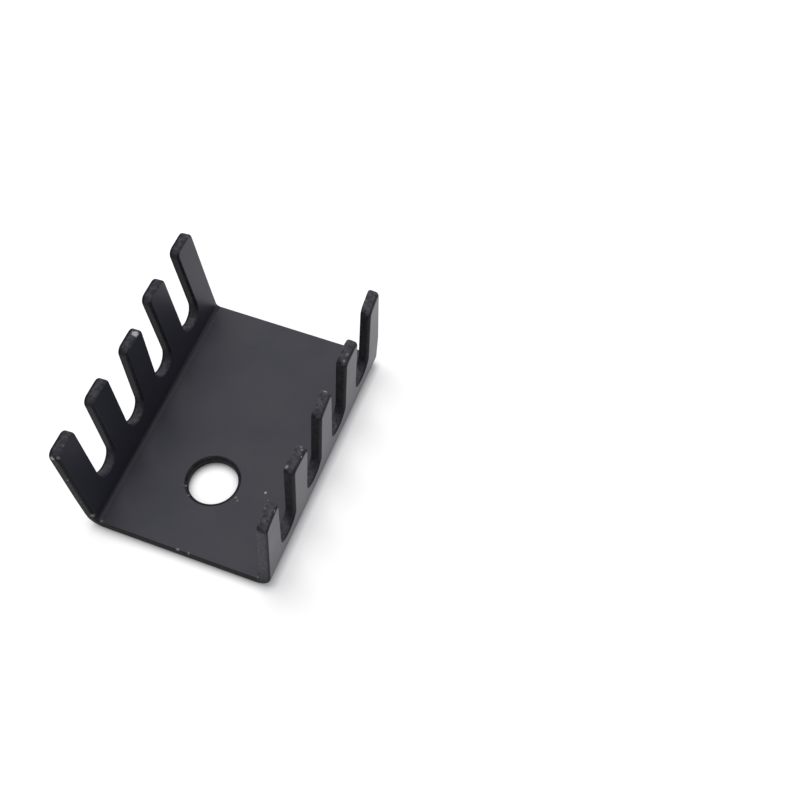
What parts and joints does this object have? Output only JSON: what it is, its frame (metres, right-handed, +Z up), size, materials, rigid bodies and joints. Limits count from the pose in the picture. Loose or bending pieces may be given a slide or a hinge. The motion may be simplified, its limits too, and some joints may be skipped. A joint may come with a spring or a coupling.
{
  "type": "transistor heat sink",
  "caption": "Folded sheet-metal heat sink for a transistor: a channel with slotted, finned side walls and a screw hole through its flat base, black anodised.",
  "frame": {"origin": "centre of the underside of the flat base, midway along the folds and midway between them", "axes": "+Z up out of the channel, through the base; +Y along the folds, away from the end that has the screw hole; +X across, towards the wall whose fins are all straight"},
  "size_m": [0.0166, 0.021, 0.01],
  "materials": {
    "anodised_sheet": "black anodised, satin, with worn cut edges"
  },
  "bodies": {
    "root": {"heat_sink": "anodised_sheet"}
  },
  "joints": []
}
